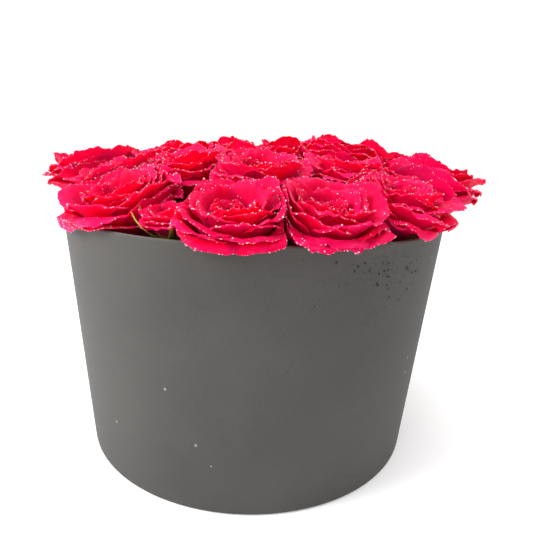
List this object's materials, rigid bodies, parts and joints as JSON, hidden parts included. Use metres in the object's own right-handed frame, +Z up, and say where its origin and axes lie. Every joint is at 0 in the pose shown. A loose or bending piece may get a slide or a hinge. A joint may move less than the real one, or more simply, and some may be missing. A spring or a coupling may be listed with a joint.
{
  "type": "flower box",
  "caption": "Round tapered paper-wrapped box holding wet floral foam and a low dome of open red roses on separate stems.",
  "frame": {"origin": "middle of the flat underside, on the surface that the box stands on", "axes": "+Z up, front towards -Y, +X to the right as seen from the front"},
  "size_m": [0.3713, 0.3301, 0.248],
  "materials": {
    "black_paper": "matte",
    "grey_board": "matte",
    "liner_film": "satin",
    "wet_foam": "matte",
    "petal": "satin",
    "stem": "matte"
  },
  "bodies": {
    "box": {"cover_paper": "black_paper", "board_tube": "grey_board", "base_disc": "grey_board", "base_paper": "black_paper", "wall_lining": "black_paper", "base_lining": "black_paper"},
    "insert": {"liner_film": "liner_film", "foam_lower_1": "wet_foam", "foam_lower_2": "wet_foam", "foam_lower_3": "wet_foam", "foam_upper_1": "wet_foam", "foam_upper_2": "wet_foam", "foam_upper_3": "wet_foam"},
    "rose_01": {"rose_01_bloom": "petal", "rose_01_stem": "stem"},
    "rose_02": {"rose_02_bloom": "petal", "rose_02_stem": "stem"},
    "rose_03": {"rose_03_bloom": "petal", "rose_03_stem": "stem"},
    "rose_04": {"rose_04_bloom": "petal", "rose_04_stem": "stem"},
    "rose_05": {"rose_05_bloom": "petal", "rose_05_stem": "stem"},
    "rose_06": {"rose_06_bloom": "petal", "rose_06_stem": "stem"},
    "rose_07": {"rose_07_bloom": "petal", "rose_07_stem": "stem"},
    "rose_08": {"rose_08_bloom": "petal", "rose_08_stem": "stem"},
    "rose_09": {"rose_09_bloom": "petal", "rose_09_stem": "stem"},
    "rose_10": {"rose_10_bloom": "petal", "rose_10_stem": "stem"},
    "rose_11": {"rose_11_bloom": "petal", "rose_11_stem": "stem"},
    "rose_12": {"rose_12_bloom": "petal", "rose_12_stem": "stem"},
    "rose_13": {"rose_13_bloom": "petal", "rose_13_stem": "stem"},
    "rose_14": {"rose_14_bloom": "petal", "rose_14_stem": "stem"},
    "rose_15": {"rose_15_bloom": "petal", "rose_15_stem": "stem"},
    "rose_16": {"rose_16_bloom": "petal", "rose_16_stem": "stem"},
    "rose_17": {"rose_17_bloom": "petal", "rose_17_stem": "stem"},
    "rose_18": {"rose_18_bloom": "petal", "rose_18_stem": "stem"},
    "rose_19": {"rose_19_bloom": "petal", "rose_19_stem": "stem"},
    "rose_20": {"rose_20_bloom": "petal", "rose_20_stem": "stem"},
    "rose_21": {"rose_21_bloom": "petal", "rose_21_stem": "stem"},
    "rose_22": {"rose_22_bloom": "petal", "rose_22_stem": "stem"}
  },
  "joints": [
    {"name": "insert_lift", "type": "slide", "parent": "box", "child": "insert", "axis": [0, 0, 1], "range_m": [0, 0.19]},
    {"name": "rose_01_pull", "type": "slide", "parent": "insert", "child": "rose_01", "axis": [0, 0, 1], "range_m": [0, 0.18]},
    {"name": "rose_02_pull", "type": "slide", "parent": "insert", "child": "rose_02", "axis": [0, 0, 1], "range_m": [0, 0.18]},
    {"name": "rose_03_pull", "type": "slide", "parent": "insert", "child": "rose_03", "axis": [0, 0, 1], "range_m": [0, 0.18]},
    {"name": "rose_04_pull", "type": "slide", "parent": "insert", "child": "rose_04", "axis": [0, 0, 1], "range_m": [0, 0.18]},
    {"name": "rose_05_pull", "type": "slide", "parent": "insert", "child": "rose_05", "axis": [0, 0, 1], "range_m": [0, 0.18]},
    {"name": "rose_06_pull", "type": "slide", "parent": "insert", "child": "rose_06", "axis": [0, 0, 1], "range_m": [0, 0.18]},
    {"name": "rose_07_pull", "type": "slide", "parent": "insert", "child": "rose_07", "axis": [0, 0, 1], "range_m": [0, 0.18]},
    {"name": "rose_08_pull", "type": "slide", "parent": "insert", "child": "rose_08", "axis": [0, 0, 1], "range_m": [0, 0.18]},
    {"name": "rose_09_pull", "type": "slide", "parent": "insert", "child": "rose_09", "axis": [0, 0, 1], "range_m": [0, 0.18]},
    {"name": "rose_10_pull", "type": "slide", "parent": "insert", "child": "rose_10", "axis": [0, 0, 1], "range_m": [0, 0.18]},
    {"name": "rose_11_pull", "type": "slide", "parent": "insert", "child": "rose_11", "axis": [0, 0, 1], "range_m": [0, 0.18]},
    {"name": "rose_12_pull", "type": "slide", "parent": "insert", "child": "rose_12", "axis": [0, 0, 1], "range_m": [0, 0.18]},
    {"name": "rose_13_pull", "type": "slide", "parent": "insert", "child": "rose_13", "axis": [0, 0, 1], "range_m": [0, 0.18]},
    {"name": "rose_14_pull", "type": "slide", "parent": "insert", "child": "rose_14", "axis": [0, 0, 1], "range_m": [0, 0.18]},
    {"name": "rose_15_pull", "type": "slide", "parent": "insert", "child": "rose_15", "axis": [0, 0, 1], "range_m": [0, 0.18]},
    {"name": "rose_16_pull", "type": "slide", "parent": "insert", "child": "rose_16", "axis": [0, 0, 1], "range_m": [0, 0.18]},
    {"name": "rose_17_pull", "type": "slide", "parent": "insert", "child": "rose_17", "axis": [0, 0, 1], "range_m": [0, 0.18]},
    {"name": "rose_18_pull", "type": "slide", "parent": "insert", "child": "rose_18", "axis": [0, 0, 1], "range_m": [0, 0.18]},
    {"name": "rose_19_pull", "type": "slide", "parent": "insert", "child": "rose_19", "axis": [0, 0, 1], "range_m": [0, 0.18]},
    {"name": "rose_20_pull", "type": "slide", "parent": "insert", "child": "rose_20", "axis": [0, 0, 1], "range_m": [0, 0.18]},
    {"name": "rose_21_pull", "type": "slide", "parent": "insert", "child": "rose_21", "axis": [0, 0, 1], "range_m": [0, 0.18]},
    {"name": "rose_22_pull", "type": "slide", "parent": "insert", "child": "rose_22", "axis": [0, 0, 1], "range_m": [0, 0.18]}
  ]
}
